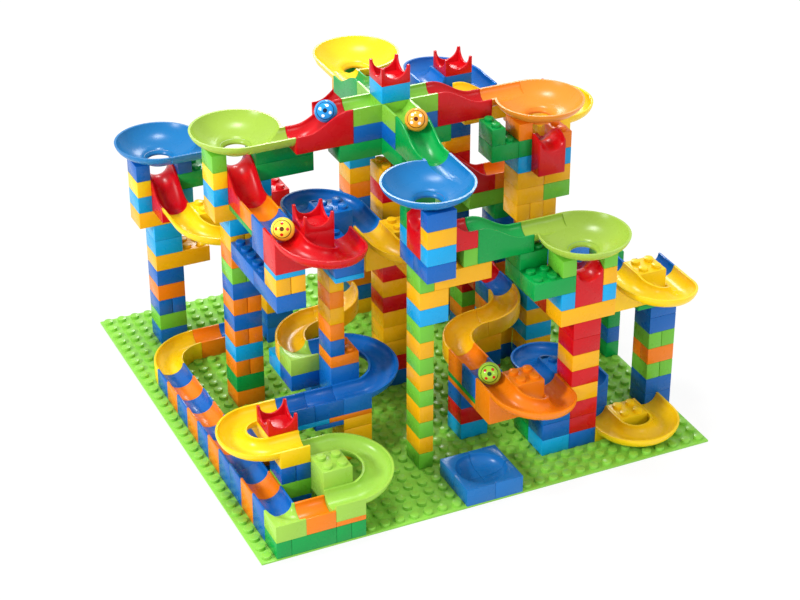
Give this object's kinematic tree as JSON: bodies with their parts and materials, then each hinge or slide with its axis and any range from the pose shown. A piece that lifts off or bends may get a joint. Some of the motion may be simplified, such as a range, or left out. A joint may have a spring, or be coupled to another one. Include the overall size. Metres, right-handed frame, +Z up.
{
  "type": "marble run",
  "caption": "Tall marble run of building bricks on a studded baseplate, with funnels, slides, channels and U turns that lead rolling balls down",
  "frame": {"origin": "centre of the baseplate's underside", "axes": "+Z up, +X to the right and +Y to the back as seen from the front edge with the bowl tile"},
  "size_m": [0.528, 0.512, 0.3864],
  "materials": {
    "amber_plastic": "glossy moulded ABS",
    "ball_blue_plastic": "glossy moulded ABS",
    "ball_green_plastic": "glossy moulded ABS",
    "ball_orange_plastic": "glossy moulded ABS",
    "ball_yellow_plastic": "glossy moulded ABS",
    "blue_plastic": "glossy moulded ABS",
    "dark_green_plastic": "glossy moulded ABS",
    "grass_green_plastic": "glossy moulded ABS",
    "lime_plastic": "glossy moulded ABS",
    "orange_plastic": "glossy moulded ABS",
    "red_plastic": "glossy moulded ABS",
    "sky_blue_plastic": "glossy moulded ABS",
    "yellow_plastic": "glossy moulded ABS"
  },
  "bodies": {
    "root": {"baseplate": "grass_green_plastic", "bends_amber": "amber_plastic", "bends_yellow": "yellow_plastic", "bowl_tile_blue": "blue_plastic", "bricks_1x2_amber": "amber_plastic", "bricks_1x2_blue": "blue_plastic", "bricks_1x2_dark_green": "dark_green_plastic", "bricks_1x2_lime": "lime_plastic", "bricks_1x2_orange": "orange_plastic", "bricks_1x2_sky_blue": "sky_blue_plastic", "bricks_1x2_yellow": "yellow_plastic", "bricks_2x2_amber": "amber_plastic", "bricks_2x2_blue": "blue_plastic", "bricks_2x2_dark_green": "dark_green_plastic", "bricks_2x2_lime": "lime_plastic", "bricks_2x2_orange": "orange_plastic", "bricks_2x2_red": "red_plastic", "bricks_2x2_sky_blue": "sky_blue_plastic", "bricks_2x3_dark_green": "dark_green_plastic", "bricks_2x4_amber": "amber_plastic", "bricks_2x4_blue": "blue_plastic", "bricks_2x4_dark_green": "dark_green_plastic", "bricks_2x4_lime": "lime_plastic", "bricks_2x6_red": "red_plastic", "channels_blue": "blue_plastic", "channels_orange": "orange_plastic", "corners_lime": "lime_plastic", "cross_channels_lime": "lime_plastic", "cross_foot_dark_green": "dark_green_plastic", "cross_middle_blue": "blue_plastic", "crowns_red": "red_plastic", "funnels_blue": "blue_plastic", "funnels_lime": "lime_plastic", "funnels_orange": "orange_plastic", "funnels_yellow": "yellow_plastic", "gentle_slides_dark_green": "dark_green_plastic", "gentle_slides_red": "red_plastic", "gentle_slides_yellow": "yellow_plastic", "plates_blue": "blue_plastic", "plates_dark_green": "dark_green_plastic", "plates_orange": "orange_plastic", "plates_sky_blue": "sky_blue_plastic", "ramp_blocks_blue": "blue_plastic", "ramp_blocks_orange": "orange_plastic", "steep_slides_red": "red_plastic", "turns_amber": "amber_plastic", "turns_blue": "blue_plastic", "turns_lime": "lime_plastic", "turns_orange": "orange_plastic", "turns_red": "red_plastic", "turns_yellow": "yellow_plastic"},
    "blue_ball": {"ball_blue": "ball_blue_plastic"},
    "orange_ball": {"ball_orange": "ball_orange_plastic"},
    "yellow_ball": {"ball_yellow": "ball_yellow_plastic"},
    "green_ball": {"ball_green": "ball_green_plastic"}
  },
  "joints": [
    {"name": "blue_ball_roll", "type": "slide", "parent": "root", "child": "blue_ball", "axis": [-0.875, 0, -0.4842], "range_m": [-0.008, 0.02]},
    {"name": "orange_ball_roll", "type": "slide", "parent": "root", "child": "orange_ball", "axis": [0, -0.875, -0.4842], "range_m": [-0.004, 0.028]},
    {"name": "yellow_ball_roll", "type": "slide", "parent": "root", "child": "yellow_ball", "axis": [0, -1, 0], "range_m": [-0.062, 0]},
    {"name": "green_ball_roll", "type": "slide", "parent": "root", "child": "green_ball", "axis": [0, -1, 0], "range_m": [-0.048, 0.016]}
  ]
}
